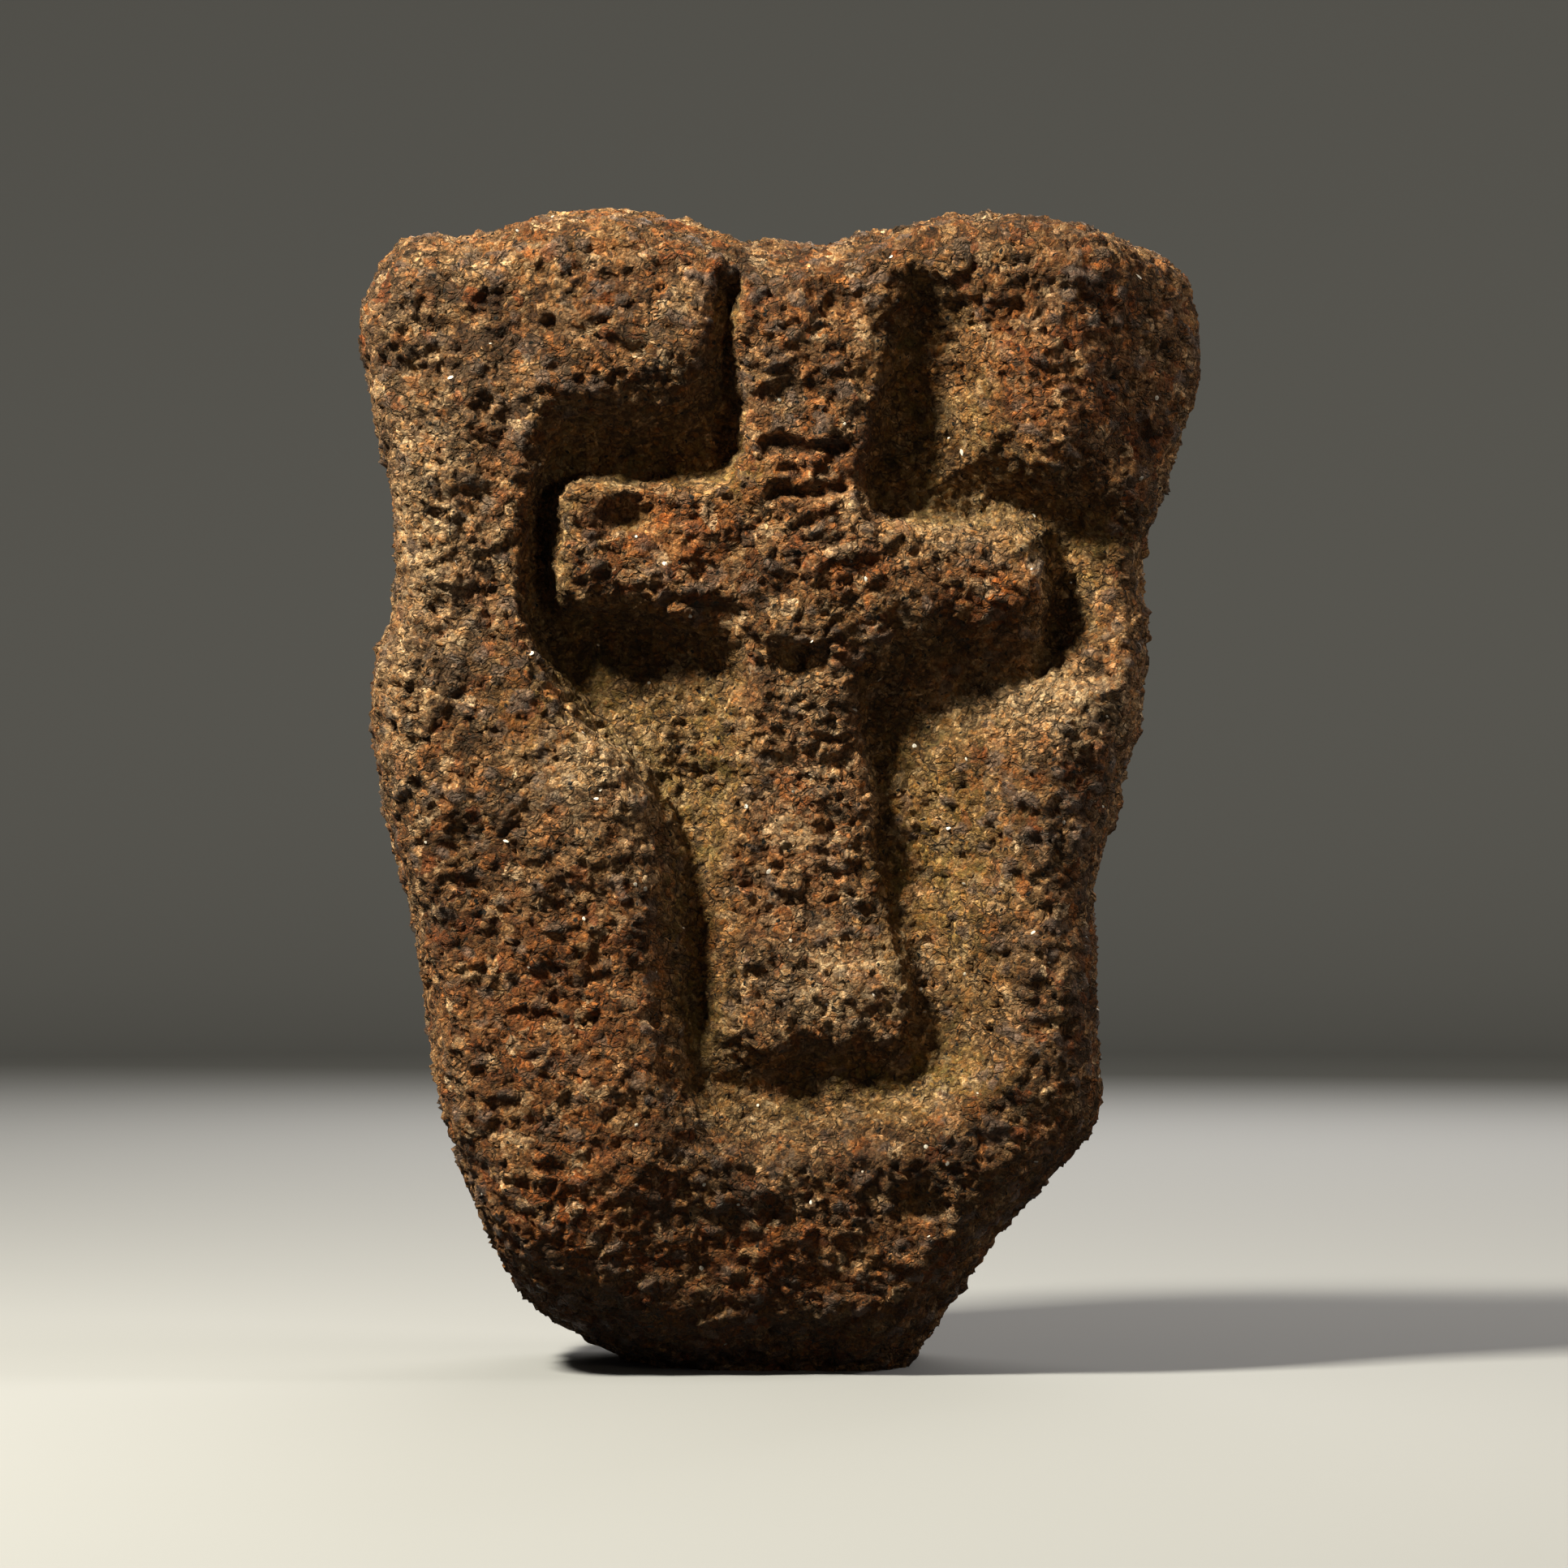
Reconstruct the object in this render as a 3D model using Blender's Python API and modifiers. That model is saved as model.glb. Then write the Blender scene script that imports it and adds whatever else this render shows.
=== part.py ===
"""A waymark stone: a rough, tapering block of granite, with a Latin cross left standing
in a field sunk into its front.

Metres, +Z up. The front faces -Y. The origin is on the ground, under the middle of the
stone's box. Places on the front are shares of the stone's width, from its middle line,
and of its height, from the ground, in hundredths."""

from collections import namedtuple

import bmesh
import bpy
import numpy as np
from mathutils import Vector, noise

# The block
STONE_HEIGHT = 0.517
STONE_WIDTH = 0.375
STONE_THICKNESS = 0.190

# The carving, measured from the front of the block inwards
FIELD_DEPTH = 0.030
CROSS_CORNER = 0.012
CROSS_BLEND = 0.020
CARVING_REACH = 0.085

# How far the front falls back towards the foot and towards the right, and the heights and
# widths in hundredths where that starts
FOOT_LEAN = 0.024
FOOT_LEAN_START = 19.0
RIGHT_LEAN = 0.014
RIGHT_LEAN_START = 22.0

# The roughness of the broken and weathered faces
SWELL_SIZE = 0.110
SWELL_HEIGHT = 0.0060
LUMP_SIZE = 0.034
LUMP_HEIGHT = 0.0034
BACK_ROUGHNESS = 0.55
FLAT_FOOT_CUT = 0.005

# The mesh
WORKING_FACE = 0.0040
OUTLINE_STEPS = 3
MOST_TRIANGLES = 9300

GRANITE_COLOUR = (0.24, 0.16, 0.10, 1.0)
GRANITE_ROUGHNESS = 0.9

# The silhouette, clockwise from the left end of the foot
OUTLINE = (
    (-13.0, 0.0), (-26.0, 4.4), (-31.5, 8.0), (-35.5, 16.0), (-40.6, 24.5),
    (-42.0, 34.0), (-44.2, 42.0), (-47.6, 54.0), (-47.8, 60.5), (-45.8, 65.0),
    (-46.0, 75.0), (-49.4, 87.0), (-49.8, 91.8), (-45.2, 97.3),
    (-36.5, 97.3), (-29.0, 99.3), (-17.0, 99.8), (-3.0, 96.7), (8.0, 97.0),
    (23.0, 98.5), (42.5, 96.4),
    (48.8, 93.5), (50.1, 86.0), (46.8, 78.0), (43.9, 70.0), (44.3, 62.0),
    (41.4, 50.0), (38.2, 42.0), (37.9, 29.0), (38.4, 23.0), (35.5, 19.0),
    (24.5, 10.0), (17.5, 3.2), (11.0, 0.0),
)

# The sunk field, clockwise from the left of the cross's head. First the rim, where the
# front starts to fall, then the floor, where the slope ends. On the right the field runs
# out through the side of the stone
FIELD_RIM = (
    (-9.0, 92.6), (-9.3, 86.8), (-15.5, 84.4), (-26.3, 83.6), (-29.8, 80.0),
    (-30.2, 71.5), (-29.8, 59.3), (-21.8, 52.2), (-16.4, 45.8), (-16.0, 31.0),
    (-11.7, 19.9), (0.0, 16.9), (19.4, 19.9), (29.1, 27.2), (31.1, 43.8),
    (35.0, 55.5), (44.7, 60.4), (45.6, 74.6), (32.0, 76.4),
    (29.0, 81.9), (24.0, 91.5), (4.0, 95.0),
)
FIELD_FLOOR = (
    (-5.2, 91.1), (-5.8, 80.0), (-15.4, 77.4), (-26.4, 77.6), (-28.2, 64.5),
    (-19.8, 54.8), (-11.8, 48.0), (-9.7, 42.0), (-9.7, 30.9), (-7.8, 24.4), (3.6, 24.0),
    (16.5, 25.6), (19.0, 31.0), (12.6, 51.6), (17.0, 56.6), (28.4, 59.5), (32.3, 65.4),
    (31.8, 72.4), (22.5, 74.5), (17.5, 76.8), (19.5, 89.6), (4.0, 92.1),
)

# Sections through the depth, from front to back: the share of the thickness, and how far
# the silhouette is drawn in at the left, right, top and foot
Section = namedtuple("Section", "depth left right top foot")
SECTIONS = (
    Section(0.00, 0.013, 0.015, 0.016, 0.033),
    Section(0.07, 0.004, 0.006, 0.005, 0.022),
    Section(0.22, 0.000, 0.001, 0.000, 0.006),
    Section(0.38, 0.000, 0.000, 0.000, 0.000),
    Section(0.74, 0.003, 0.003, 0.003, 0.000),
    Section(0.92, 0.012, 0.012, 0.012, 0.011),
    Section(1.00, 0.034, 0.032, 0.030, 0.032),
)

# A straight, tapering stretch of the carving as seen from the front
Bar = namedtuple("Bar", "start end half_start half_end")


def upright(x_top, z_top, half_top, x_low, z_low, half_low):
    """A bar that runs down the stone, its half widths in hundredths of the width."""
    across, up = STONE_WIDTH / 100, STONE_HEIGHT / 100
    return Bar(
        (x_top * across, z_top * up), (x_low * across, z_low * up), half_top * across, half_low * across
    )


def level(x_left, z_left, half_left, x_right, z_right, half_right):
    """A bar that runs across the stone, its half widths in hundredths of the height."""
    across, up = STONE_WIDTH / 100, STONE_HEIGHT / 100
    return Bar(
        (x_left * across, z_left * up), (x_right * across, z_right * up), half_left * up, half_right * up
    )


# The cross: its head, left arm, right arm and shaft. First along the crest, then along the
# line where its sides meet the floor
CROSS_CREST = (
    upright(6.2, 103.0, 10.8, 2.0, 68.6, 5.2),
    level(-25.6, 70.0, 4.8, 2.2, 69.4, 4.7),
    level(2.2, 68.1, 3.4, 30.3, 68.2, 2.9),
    upright(3.2, 68.6, 2.2, 4.4, 29.5, 11.2),
)
CROSS_FOOT = (
    upright(8.4, 103.0, 13.8, 1.8, 68.8, 7.2),
    level(-27.3, 69.3, 6.7, 2.3, 67.9, 7.9),
    level(2.3, 64.9, 8.2, 33.6, 65.4, 7.5),
    upright(-1.4, 68.8, 8.0, 4.1, 24.9, 14.0),
)

# How deep the field lies and how high the cross stands in it, as shares of the field's full
# depth, at heights up the stone. Both are shallow at the top, and the shaft sinks below the arms
Level = namedtuple("Level", "z field cross")
LEVELS = (
    Level(20.0, 0.80, 0.25),
    Level(30.0, 1.00, 0.42),
    Level(40.0, 1.00, 0.34),
    Level(52.0, 1.00, 0.38),
    Level(63.0, 1.05, 0.80),
    Level(78.0, 0.95, 0.84),
    Level(86.0, 0.65, 0.60),
    Level(94.0, 0.42, 0.40),
)

# Hollows worn or broken into the surface: place, radius across, radius up and depth
Hollow = namedtuple("Hollow", "x z across up depth")
HOLLOWS = (
    Hollow(-17.6, 72.8, 2.5, 1.8, 0.0090),
    Hollow(2.1, 60.3, 2.9, 1.4, 0.0100),
    Hollow(17.6, 14.7, 3.2, 1.5, 0.0080),
    Hollow(6.3, 90.8, 2.3, 1.4, 0.0050),
    Hollow(-20.0, 59.8, 7.8, 5.2, 0.0090),
    Hollow(33.6, 64.7, 2.5, 2.9, 0.0050),
    Hollow(3.9, 96.8, 9.8, 3.3, 0.0060),
    Hollow(47.0, 86.0, 8.0, 14.0, 0.0160),
    Hollow(-33.0, 71.0, 4.5, 11.0, 0.0045),
    Hollow(-21.4, 90.4, 16.6, 5.9, -0.0050),
    Hollow(-26.3, 39.8, 9.8, 12.8, -0.0030),
    Hollow(6.0, 34.5, 9.0, 5.0, -0.0030),
)


def round_outline(points, steps):
    """The points joined by one closed curve, with this many steps from each to the next."""
    count = len(points)
    corners = np.array(points)
    curve = []
    for i in range(count):
        before, start, end, after = (corners[(i + k - 1) % count] for k in range(4))
        for t in np.arange(steps) / steps:
            curve.append(
                0.5
                * (
                    2 * start
                    + (end - before) * t
                    + (2 * before - 5 * start + 4 * end - after) * t**2
                    + (3 * start - before - 3 * end + after) * t**3
                )
            )
    return curve


def section_point(point, section):
    """A point of the silhouette in metres, drawn in as its section says."""
    x, z = point[0] / 100 * STONE_WIDTH, point[1] / 100 * STONE_HEIGHT
    inset = section.left if x < 0 else section.right
    x -= inset * x / (STONE_WIDTH / 2)
    middle = STONE_HEIGHT / 2
    if z > middle:
        z -= section.top * (z - middle) / middle
    else:
        z += section.foot * (middle - z) / middle
    return Vector((x, (section.depth - 0.5) * STONE_THICKNESS, z - FLAT_FOOT_CUT))


def lofted_block():
    """The block before carving: its outline lofted through the sections."""
    shape = bmesh.new()
    outline = round_outline(OUTLINE, OUTLINE_STEPS)
    rings = [[shape.verts.new(section_point(point, section)) for point in outline] for section in SECTIONS]
    for near, far in zip(rings, rings[1:]):
        for i in range(len(outline)):
            shape.faces.new((near[i - 1], near[i], far[i], far[i - 1]))
    shape.faces.new(rings[0])
    shape.faces.new(rings[-1])
    bmesh.ops.recalc_face_normals(shape, faces=shape.faces)
    return shape


def smooth_min(a, b, blend):
    """The smaller of two distances, with the corner between them rounded over the blend."""
    overlap = np.maximum(blend - np.abs(a - b), 0) / blend
    return np.minimum(a, b) - overlap**2 * blend / 4


def distance_to_outline(x, z, outline):
    """How far points lie outside a closed outline. It is negative inside."""
    size = np.array((STONE_WIDTH, STONE_HEIGHT)) / 100
    corners = np.array(round_outline(outline, OUTLINE_STEPS)) * size
    nearest = np.full(x.shape, np.inf)
    inside = np.zeros(x.shape, dtype=bool)
    for start, end in zip(corners, np.roll(corners, -1, axis=0)):
        run = end - start
        dx, dz = x - start[0], z - start[1]
        along = np.clip((dx * run[0] + dz * run[1]) / (run @ run), 0, 1)
        nearest = np.minimum(nearest, np.hypot(dx - along * run[0], dz - along * run[1]))
        crosses = (z < start[1]) != (z < end[1])
        to_right = dx * run[1] < dz * run[0]
        inside ^= crosses & (to_right == (run[1] > 0))
    return np.where(inside, -nearest, nearest)


def distance_to_bar(x, z, bar):
    """How far points lie outside a bar with rounded corners. It is negative inside."""
    run = np.array(bar.end) - np.array(bar.start)
    length = np.hypot(*run)
    dx, dz = x - bar.start[0], z - bar.start[1]
    along = (dx * run[0] + dz * run[1]) / length
    across = np.abs(dz * run[0] - dx * run[1]) / length
    half = np.interp(along, (0, length), (bar.half_start, bar.half_end))
    past_end = np.abs(along - length / 2) - length / 2 + CROSS_CORNER
    past_side = across - half + CROSS_CORNER
    outside = np.hypot(np.maximum(past_end, 0), np.maximum(past_side, 0))
    return outside + np.minimum(np.maximum(past_end, past_side), 0) - CROSS_CORNER


def distance_to_cross(x, z, bars):
    """How far points lie outside a cross whose bars run into each other."""
    joined = distance_to_bar(x, z, bars[0])
    for bar in bars[1:]:
        joined = smooth_min(joined, distance_to_bar(x, z, bar), CROSS_BLEND)
    return joined


def rise(inner, outer):
    """0 inside the inner edge, 1 outside the outer edge, and an easy slope between the two."""
    share = np.clip(inner / np.maximum(inner - outer, 1e-6), 0, 1)
    return share * share * (3 - 2 * share)


def carving_depth(x, z):
    """How far the carved front lies behind the uncarved one."""
    across, up = x / STONE_WIDTH * 100, z / STONE_HEIGHT * 100
    heights = [at.z for at in LEVELS]
    field = FIELD_DEPTH * np.interp(up, heights, [at.field for at in LEVELS])
    limbs = FIELD_DEPTH * np.interp(up, heights, [at.cross for at in LEVELS])
    wall = field * rise(distance_to_outline(x, z, FIELD_FLOOR), distance_to_outline(x, z, FIELD_RIM))
    cross = limbs * (1 - rise(distance_to_cross(x, z, CROSS_CREST), distance_to_cross(x, z, CROSS_FOOT)))
    depth = field - np.maximum(wall, cross)
    depth = depth + FOOT_LEAN * np.maximum(1 - up / FOOT_LEAN_START, 0) ** 1.4
    depth = depth + RIGHT_LEAN * (np.maximum(across - RIGHT_LEAN_START, 0) / RIGHT_LEAN_START) ** 2
    for hollow in HOLLOWS:
        away = np.hypot((across - hollow.x) / hollow.across, (up - hollow.z) / hollow.up)
        depth = depth + hollow.depth * np.exp(-(away**3))
    return depth


def carve(shape):
    """Pushes the front of the block back by the carving's depth, less and less behind it."""
    points = np.array([vert.co for vert in shape.verts])
    behind_front = points[:, 1] + STONE_THICKNESS / 2
    hold = np.clip(1 - behind_front / CARVING_REACH, 0, 1)
    points[:, 1] += carving_depth(points[:, 0], points[:, 2]) * hold
    for vert, point in zip(shape.verts, points):
        vert.co = point


def roughen(shape):
    """Gives every face the swells and lumps of broken granite."""
    shape.normal_update()
    moves = []
    for vert in shape.verts:
        swell = noise.fractal(vert.co / SWELL_SIZE, 1.0, 2.0, 2)
        lump = noise.fractal(vert.co / LUMP_SIZE, 0.8, 2.1, 3)
        behind = np.clip(vert.co.y / STONE_THICKNESS + 0.5, 0, 1)
        share = 1 + (BACK_ROUGHNESS - 1) * behind
        moves.append(vert.normal * (swell * SWELL_HEIGHT + lump * LUMP_HEIGHT) * share)
    for vert, move in zip(shape.verts, moves):
        vert.co += move


def cut_flat_foot(shape):
    """Cuts the underside off level with the ground, which leaves the flat that it stands on."""
    everything = list(shape.verts) + list(shape.edges) + list(shape.faces)
    bmesh.ops.bisect_plane(
        shape, geom=everything, plane_co=(0, 0, 0), plane_no=(0, 0, -1), clear_outer=True
    )
    rim = [edge for edge in shape.edges if edge.is_boundary]
    bmesh.ops.holes_fill(shape, edges=rim)


def fit_to_size(shape):
    """Gives the stone its full sizes, with the origin on the ground under its middle."""
    points = np.array([vert.co for vert in shape.verts])
    low, high = points.min(axis=0), points.max(axis=0)
    middle = (low + high) / 2
    bmesh.ops.translate(shape, verts=shape.verts, vec=(-middle[0], -middle[1], -low[2]))
    size = np.array((STONE_WIDTH, STONE_THICKNESS, STONE_HEIGHT))
    bmesh.ops.scale(shape, verts=shape.verts, vec=size / (high - low))


def after_modifiers(shape, name, add_modifiers):
    """The bmesh as a mesh, run through the modifiers that add_modifiers puts on its object."""
    mesh = bpy.data.meshes.new(name)
    shape.to_mesh(mesh)
    shape.free()
    helper = bpy.data.objects.new(name, mesh)
    bpy.context.scene.collection.objects.link(helper)
    add_modifiers(helper)
    graph = bpy.context.evaluated_depsgraph_get()
    made = bmesh.new()
    made.from_mesh(helper.evaluated_get(graph).to_mesh())
    bpy.data.objects.remove(helper)
    bpy.data.meshes.remove(mesh)
    return made


def even_faces(helper):
    """Rebuilds the surface in even faces that are small enough to carve."""
    remesh = helper.modifiers.new("even faces", "REMESH")
    remesh.mode = "VOXEL"
    remesh.voxel_size = WORKING_FACE


def fewer_faces(helper):
    """Keeps the triangles that the form needs."""
    triangles = sum(len(face.vertices) - 2 for face in helper.data.polygons)
    decimate = helper.modifiers.new("fewer faces", "DECIMATE")
    decimate.ratio = min(1.0, MOST_TRIANGLES / triangles)
    decimate.use_collapse_triangulate = True


def granite():
    material = bpy.data.materials.new("granite")
    material.use_nodes = True
    shader = material.node_tree.nodes["Principled BSDF"]
    shader.inputs["Base Color"].default_value = GRANITE_COLOUR
    shader.inputs["Roughness"].default_value = GRANITE_ROUGHNESS
    shader.inputs["Metallic"].default_value = 0.0
    return material


def waymark_stone(collection):
    shape = after_modifiers(lofted_block(), "block", even_faces)
    carve(shape)
    roughen(shape)
    shape = after_modifiers(shape, "carved", fewer_faces)
    cut_flat_foot(shape)
    fit_to_size(shape)
    bmesh.ops.triangulate(shape, faces=shape.faces)
    bmesh.ops.recalc_face_normals(shape, faces=shape.faces)
    mesh = bpy.data.meshes.new("waymark_stone")
    shape.to_mesh(mesh)
    shape.free()
    mesh.materials.append(granite())
    stone = bpy.data.objects.new("waymark_stone", mesh)
    collection.objects.link(stone)
    return stone


def main():
    for leftover in list(bpy.data.objects):
        bpy.data.objects.remove(leftover)
    collection = bpy.data.collections.new("waymark stone")
    bpy.context.scene.collection.children.link(collection)
    waymark_stone(collection)


main()
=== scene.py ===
import math
import bmesh
import bpy
import numpy as np
from mathutils import Matrix, Vector, noise
from mathutils.bvhtree import BVHTree
from mathutils.kdtree import KDTree


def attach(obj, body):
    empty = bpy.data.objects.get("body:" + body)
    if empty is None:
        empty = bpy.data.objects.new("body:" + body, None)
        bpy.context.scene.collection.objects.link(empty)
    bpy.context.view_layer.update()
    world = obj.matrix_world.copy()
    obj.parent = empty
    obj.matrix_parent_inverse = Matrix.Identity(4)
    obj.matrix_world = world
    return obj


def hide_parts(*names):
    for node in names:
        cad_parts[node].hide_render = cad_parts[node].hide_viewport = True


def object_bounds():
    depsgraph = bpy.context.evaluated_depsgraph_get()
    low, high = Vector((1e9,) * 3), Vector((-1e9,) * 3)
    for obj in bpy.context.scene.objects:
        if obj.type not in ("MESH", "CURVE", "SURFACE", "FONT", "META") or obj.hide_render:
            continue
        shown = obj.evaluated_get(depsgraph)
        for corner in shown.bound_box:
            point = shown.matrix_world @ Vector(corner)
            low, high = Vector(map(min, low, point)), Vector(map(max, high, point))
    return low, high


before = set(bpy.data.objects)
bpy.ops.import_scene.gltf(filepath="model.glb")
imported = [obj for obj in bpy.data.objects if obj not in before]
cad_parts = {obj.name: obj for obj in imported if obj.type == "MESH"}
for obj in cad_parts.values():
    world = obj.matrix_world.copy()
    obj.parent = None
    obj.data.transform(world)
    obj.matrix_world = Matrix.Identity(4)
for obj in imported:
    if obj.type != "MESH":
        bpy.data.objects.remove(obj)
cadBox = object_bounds()
boxLow = np.array(cadBox[0])
boxHigh = np.array(cadBox[1])
print("frame loaded, CAD box", [round(float(v), 4) for v in boxHigh - boxLow])

scene = bpy.context.scene
noise.seed_set(11)             # otherwise the clock seeds noise_vector, and no two runs are alike


def ease(low, high, value):
    share = np.clip((value - low) / (high - low), 0, 1)
    return share * share * (3 - 2 * share)


def meshThrough(source, name, addModifiers):  # runs a mesh through modifiers and hands back the result
    helper = bpy.data.objects.new(name, source)
    scene.collection.objects.link(helper)
    addModifiers(helper)
    graph = bpy.context.evaluated_depsgraph_get()
    made = bpy.data.meshes.new_from_object(helper.evaluated_get(graph))
    bpy.data.objects.remove(helper)
    return made


def arrayOf(mesh, what):  # "co" or "normal" of every vertex
    flat = np.empty(len(mesh.vertices) * 3)
    mesh.vertices.foreach_get(what, flat)
    return flat.reshape(-1, 3)


# The stone's surface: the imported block, made finer and crumbled

stoneLook = {
    "faceSize": 0.00145,
    "softening": 4,            # passes that take the flat facets out of the block
    "softenBy": 0.5,
    "mostTriangles": 197000,
    "backStart": -0.020,       # from here back the crumb gets plainer, so the front keeps the triangles
    "backFull": 0.040,
    "backFineness": 0.30,
    "frontSpared": 5e-3,       # what the thinning of triangles adds to the cost of one at the front
    "spareLevels": 10,         # steps from the front, which is spared, to the back
    "leastSpare": 0.02,        # at a weight of 0 nothing would be thinned at all
    "boxMargin": 0.0016,       # nearer the box than this, crumbs are pressed in
    "footShare": 0.9,          # what is lower than this share of the margin lies on the ground
    "proudRange": 0.007,       # crumb heights that the proud mask spans; the low end is darkened as painted shade in the pits
}

shelterLook = {
    "rays": 40,
    "seed": 3,
    "lift": 0.0015,
    "leastSlope": 0.1,         # rays that graze the surface aren't counted
    "reach": 0.07,
    "walls": (0.10, 0.40),     # shelter at which a place starts to count as walled in, and fully does
    "blendOver": 0.001,
}

crumb = {
    "bedding": 1.35,           # crystals and flakes lie flatter than wide
    "floorSmoothing": 0.30,    # the sheltered floors are finer than the rest
    "wanderSize": 0.0105,
    "wanderBy": 0.0034,        # the crystals' borders wander this much
    "frayBy": 0.0015,
    "blockSize": 0.0085,       # broken faces of the larger crystals
    "blockStep": 0.00058,
    "blockTilt": 0.21,
    "grainSize": 0.0038,
    "grainStep": 0.00046,
    "grainTilt": 0.34,
    "swellSize": 0.024,
    "swellHeight": 0.0012,
    "swellFractal": (0.9, 2.0, 3),
    "roughSize": 0.0048,
    "roughHeight": 0.0005,
    "ledgeRise": 0.0125,       # ledges, one above the other, that drop off below
    "ledgeDepth": 0.0011,
    "ledgeSlant": 0.25,
    "ledgeShift": (7, 3, 1),
    "ledgeBend": (0.028, 2.6),           # over what length the ledges wander, and by how many ledges
    "ledgePatches": (0.035, 0.15, 2.2),  # size of the patches that have ledges, how many, how sharp
    "ledgeLip": 5,
    "quartzSize": 0.0098,      # smoky quartz stands proud because it weathers least
    "quartzHeight": 0.0011,
    "quartzShare": 0.28,
    "quartzRound": 0.52,
    "quartzFullness": 0.9,
    "quartzShift": (31.7, 4.1, 9.3),
    "chipSize": 0.0105,        # hollows where crystals have dropped out
    "chipDepth": 0.0020,
    "chipShare": 0.04,
    "chipRound": 0.55,
    "chipShift": (3.3, 17.9, 5.2),
    "streakDepth": 0.0007,     # tool streaks down the walls of the sunk field
    "streakWidth": 0.0042,
    "streakLength": 0.026,
    "streakFrom": 0.15,
}

# each turns the place of a crystal's middle into another random value
lots = {"lean": 57.3, "step": 91.7, "quartz": 41.9, "chip": 73.1}

# cracks and broken edges on the front: both ends across and up, half width and depth, in metres
cracks = (
    (-0.006, 0.4085, 0.028, 0.4065, 0.0022, 0.0050),
    (-0.004, 0.3875, 0.026, 0.3905, 0.0024, 0.0055),
    (0.000, 0.3990, 0.022, 0.3970, 0.0014, 0.0022),
    (-0.048, 0.3420, -0.018, 0.3350, 0.0022, 0.0035),
    (-0.160, 0.2590, -0.146, 0.2545, 0.0016, 0.0024),
    (-0.112, 0.0860, -0.084, 0.0790, 0.0018, 0.0016),
    (-0.020, 0.0730, 0.010, 0.0700, 0.0018, 0.0014),
    (-0.100, 0.4600, -0.060, 0.4480, 0.0022, 0.0030),
)


def brokenFaces(place, size, step, tilt):  # flat tilted faces with a step from one to the next
    local = place / size
    centre = noise.voronoi(local)[1][0]
    lean = noise.cell_vector(centre * lots["lean"]) * 2 - Vector((1, 1, 1))
    return noise.cell(centre * lots["step"]) * step + (local - centre).dot(lean) * tilt * size


def crackDepth(point):
    deepest = 0.0
    for x0, z0, x1, z1, half, depth in cracks:
        run, rise = x1 - x0, z1 - z0
        along = ((point.x - x0) * run + (point.z - z0) * rise) / (run * run + rise * rise)
        along = min(1.0, max(0.0, along))
        away = math.hypot(point.x - x0 - run * along, point.z - z0 - rise * along)
        if away < half * 2:
            deepest = max(deepest, depth * (1 - (away / (half * 2)) ** 2))
    return deepest


def crumbAt(point, walled, fineness):  # height of the broken surface here, and how much of it is quartz
    wander = noise.noise_vector(point / crumb["wanderSize"]) * crumb["wanderBy"]
    fray = noise.noise_vector(point / crumb["grainSize"]) * crumb["frayBy"]
    place = point + wander + fray
    place.z *= crumb["bedding"]
    relief = 1 - crumb["floorSmoothing"] * walled
    total = brokenFaces(place, crumb["blockSize"], crumb["blockStep"], crumb["blockTilt"]) * relief
    total += brokenFaces(place, crumb["grainSize"], crumb["grainStep"], crumb["grainTilt"]) * fineness
    swell = noise.fractal(point / crumb["swellSize"], *crumb["swellFractal"])
    total += swell * crumb["swellHeight"] * relief
    total += noise.noise(place / crumb["roughSize"]) * crumb["roughHeight"] * fineness

    bendSize, bendBy = crumb["ledgeBend"]
    patchSize, patchShift, patchGain = crumb["ledgePatches"]
    lift = (point.z + point.x * crumb["ledgeSlant"]) / crumb["ledgeRise"]
    lift += noise.noise(point / bendSize) * bendBy
    ledge = lift - math.floor(lift)
    there = max(0.0, noise.noise(point / patchSize + Vector(crumb["ledgeShift"])) + patchShift)
    drop = min(1.0, ledge * crumb["ledgeLip"]) - ledge
    total += drop * crumb["ledgeDepth"] * min(1.0, there * patchGain) * relief

    kind = place / crumb["quartzSize"] + Vector(crumb["quartzShift"])
    distances, centres = noise.voronoi(kind)
    quartz = 0.0
    if noise.cell(centres[0] * lots["quartz"]) < crumb["quartzShare"] * 2 - 1:
        quartz = max(0.0, 1 - (distances[0] / crumb["quartzRound"]) ** 2) * (1 - walled)
        total += crumb["quartzHeight"] * math.sqrt(quartz) * crumb["quartzFullness"]

    chip = place / crumb["chipSize"] + Vector(crumb["chipShift"])
    distances, centres = noise.voronoi(chip)
    if noise.cell(centres[0] * lots["chip"]) < crumb["chipShare"] * 2 - 1:
        total -= crumb["chipDepth"] * max(0.0, 1 - (distances[0] / crumb["chipRound"]) ** 2) * relief
    if walled > crumb["streakFrom"]:
        width, length = crumb["streakWidth"], crumb["streakLength"]
        streak = noise.noise(Vector((place.x / width, place.y / width, place.z / length)))
        total += streak * crumb["streakDepth"] * min(1.0, walled * 2)
    if point.y < 0:
        total -= crackDepth(point + wander)
    return total, quartz


def mergedBlock():
    shape = bmesh.new()
    shape.from_mesh(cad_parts["waymark_stone"].data)
    bmesh.ops.remove_doubles(shape, verts=shape.verts, dist=1e-6)
    shape.normal_update()
    return shape


def evenBlock():
    source = bpy.data.meshes.new("block")
    shape = mergedBlock()
    shape.to_mesh(source)
    shape.free()

    def finer(helper):
        remesh = helper.modifiers.new("finer", "REMESH")
        remesh.mode = "VOXEL"
        remesh.voxel_size = stoneLook["faceSize"]
        soften = helper.modifiers.new("soften", "SMOOTH")
        soften.factor = stoneLook["softenBy"]
        soften.iterations = stoneLook["softening"]
    return meshThrough(source, "even block", finer)


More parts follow.
